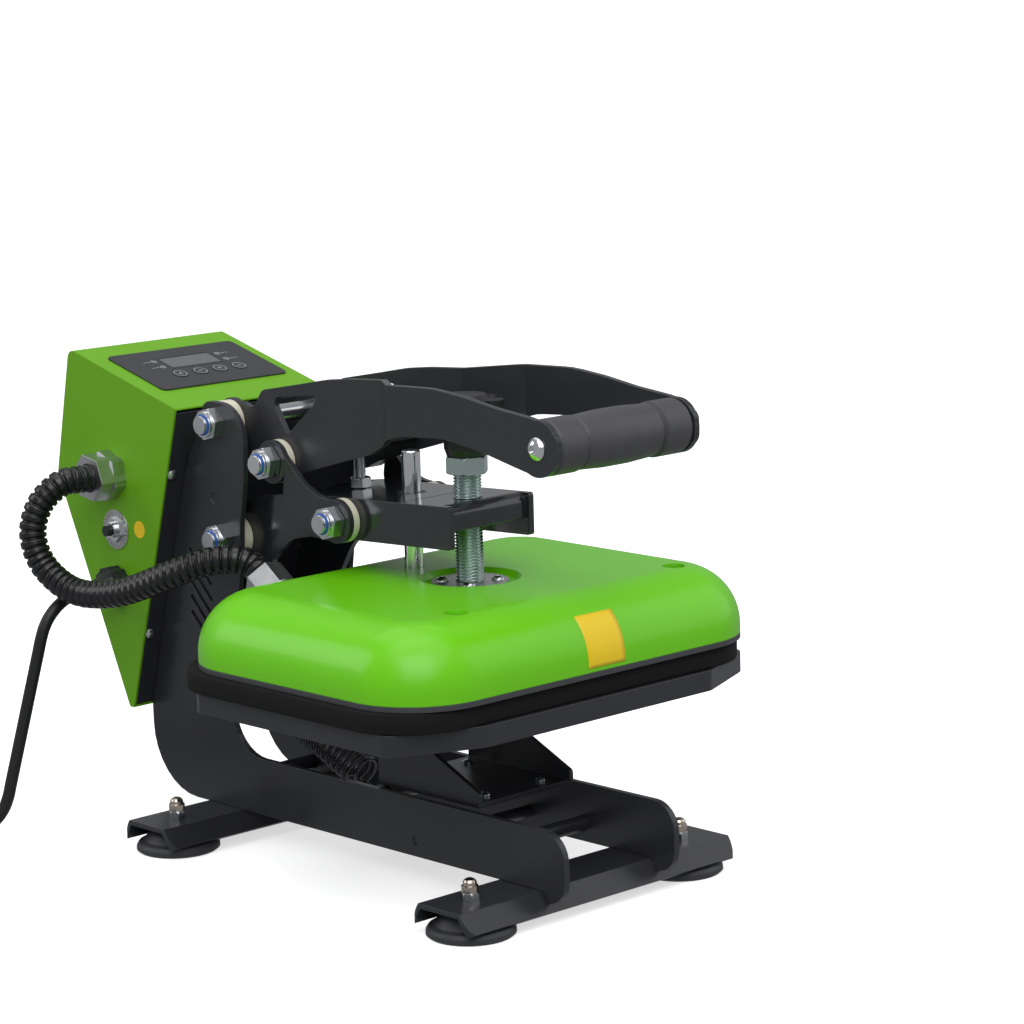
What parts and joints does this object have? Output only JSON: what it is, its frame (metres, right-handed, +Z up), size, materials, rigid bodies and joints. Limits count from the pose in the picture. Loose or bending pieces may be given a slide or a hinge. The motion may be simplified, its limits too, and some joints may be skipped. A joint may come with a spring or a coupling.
{
  "type": "clamshell heat press",
  "caption": "Clamshell heat press: hinged toggle handle and link close a cushioned hot plate with a pressure screw onto a padded lower plate; slanted control box at the back.",
  "frame": {"origin": "on the floor under the middle of the press, without its power cord", "axes": "+Z up; +Y from the grip at the front towards the control box at the back; +X to the operator's right"},
  "size_m": [0.402, 0.6031, 0.3197],
  "materials": {
    "black_frame": "fine-textured semi-gloss black powder coat",
    "black_gloss": "smooth glossy black enamel",
    "hot_face": "matt dark grey non-stick coating",
    "green_gloss": "glossy lime green paint",
    "green_satin": "satin mid green powder coat",
    "zinc": "bright zinc plate",
    "zinc_cast": "dull zinc die-casting",
    "nickel": "warm nickel plate",
    "chrome_rod": "polished chrome",
    "screw_zinc": "blue-white zinc plated thread",
    "flange_alu": "turned aluminium",
    "nylon": "cream nylon",
    "rubber": "moulded black rubber",
    "foam": "matt black silicone sponge",
    "spring_steel": "dark oiled spring steel",
    "grip_foam": "satin dark grey grip rubber",
    "knob_black": "satin black moulded plastic",
    "overlay": "dark grey membrane panel",
    "lcd": "grey display window",
    "key": "raised membrane key",
    "pcb": "green circuit board",
    "relay": "black relay body",
    "cable": "black cable sheath",
    "conduit_pa": "corrugated black polyamide",
    "element": "sheathed heating element"
  },
  "bodies": {
    "base": {"front_foot_bar": "black_frame", "rear_foot_bar": "black_frame", "rubber_feet": "rubber", "foot_studs": "zinc", "acorn_nuts": "nickel", "left_side_plate": "black_frame", "right_side_plate": "black_frame", "frame_ties": "black_frame", "platen_bracket": "black_frame", "bracket_screws": "zinc", "lower_platen": "black_frame", "silicone_pad": "foam", "pivot_rods": "zinc", "pivot_nuts": "zinc", "pivot_bushes": "nylon", "spring": "spring_steel", "box_cover": "green_satin", "box_tray": "black_frame", "box_screws": "zinc", "overlay_panel": "overlay", "lcd_window": "lcd", "control_board": "pcb", "solid_state_relay": "relay", "box_gland": "zinc_cast", "breaker": "zinc", "cord_gland": "knob_black", "conduit": "conduit_pa", "cord": "cable", "cord_coil": "cable", "plug": "cable", "cord_tie": "knob_black"},
    "handle": {"left_handle_arm": "black_frame", "right_handle_arm": "black_frame", "handle_plate": "black_frame", "grip": "grip_foam", "grip_bolt": "chrome_rod", "toggle_rod": "chrome_rod", "toggle_nuts": "zinc"},
    "link": {"link_plates": "black_frame", "link_bushes": "nylon", "link_bolts": "zinc", "link_nuts": "zinc"},
    "arm": {"upper_arm": "black_gloss", "guide_bush": "knob_black", "stop_bolt": "zinc"},
    "hot_platen": {"heater_cover": "green_gloss", "hot_plate": "hot_face", "heating_element": "element", "screw_flange": "flange_alu", "cover_screws": "zinc", "guide_rod": "chrome_rod", "hot_gland": "zinc_cast"},
    "screw": {"pressure_screw": "screw_zinc", "jam_nut": "screw_zinc", "star_knob": "knob_black"},
    "key_1": {"key_1": "key"},
    "key_2": {"key_2": "key"},
    "key_3": {"key_3": "key"},
    "key_4": {"key_4": "key"},
    "reset_button": {"reset_button": "knob_black"}
  },
  "joints": [
    {"name": "arm_hinge", "type": "hinge", "parent": "base", "child": "arm", "pos_m": [0, 0.0829, 0.2019], "axis": [-1, 0, 0], "range_deg": [0, 44.96], "deforming": ["spring", "conduit"]},
    {"name": "handle_hinge", "type": "hinge", "parent": "base", "child": "handle", "pos_m": [0, 0.0866, 0.2778], "axis": [-1, 0, 0], "range_deg": [0, 107.1]},
    {"name": "link_hinge", "type": "hinge", "parent": "handle", "child": "link", "pos_m": [0, 0.0367, 0.2564], "axis": [1, 0, 0], "range_deg": [0, 112.84]},
    {"name": "platen_slide", "type": "slide", "parent": "arm", "child": "hot_platen", "axis": [0, 0, 1], "range_m": [0, 0.008], "deforming": ["conduit"]},
    {"name": "screw_turn", "type": "hinge", "parent": "hot_platen", "child": "screw", "pos_m": [0, -0.1005, 0.25], "axis": [0, 0, 1], "range_deg": [0, 1441]},
    {"name": "reset_press", "type": "slide", "parent": "base", "child": "reset_button", "axis": [1, 0, 0], "range_m": [0, 0.003], "stiffness_N_per_m": 400},
    {"name": "key_1_press", "type": "slide", "parent": "base", "child": "key_1", "axis": [0, 0.2646, -0.9644], "range_m": [0, 0.0004], "stiffness_N_per_m": 1500},
    {"name": "key_2_press", "type": "slide", "parent": "base", "child": "key_2", "axis": [0, 0.2646, -0.9644], "range_m": [0, 0.0004], "stiffness_N_per_m": 1500},
    {"name": "key_3_press", "type": "slide", "parent": "base", "child": "key_3", "axis": [0, 0.2646, -0.9644], "range_m": [0, 0.0004], "stiffness_N_per_m": 1500},
    {"name": "key_4_press", "type": "slide", "parent": "base", "child": "key_4", "axis": [0, 0.2646, -0.9644], "range_m": [0, 0.0004], "stiffness_N_per_m": 1500}
  ],
  "couplings": [
    {"joint": "handle_hinge", "follows": "arm_hinge", "ratio": 2.3799},
    {"joint": "link_hinge", "follows": "arm_hinge", "ratio": 2.5076},
    {"joint": "screw_turn", "follows": "platen_slide", "rad_per_m": 3141.6}
  ]
}
